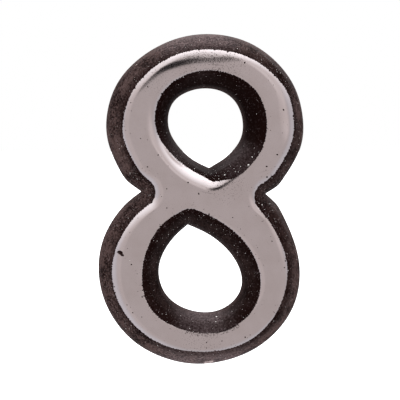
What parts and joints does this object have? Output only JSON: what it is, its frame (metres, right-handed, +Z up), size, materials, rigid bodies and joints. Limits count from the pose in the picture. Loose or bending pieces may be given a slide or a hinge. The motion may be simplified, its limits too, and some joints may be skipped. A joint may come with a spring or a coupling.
{
  "type": "house number",
  "caption": "Self-adhesive house number, a moulded figure eight with sloping sides, a foil crown and a flat back.",
  "frame": {"origin": "middle of the flat back, halfway up and halfway across the figure", "axes": "+Z up the figure as it is fixed, +X to the right seen from the front, -Y out of the door towards the viewer"},
  "size_m": [0.0374, 0.0046, 0.0601],
  "materials": {
    "black_plastic": "matt moulded black with fine grain, soft sheen and pale dust",
    "silver_foil": "satin warm silver hot-stamped foil with small pinholes"
  },
  "bodies": {
    "root": {"moulding": "black_plastic", "face_foil": "silver_foil"}
  },
  "joints": []
}
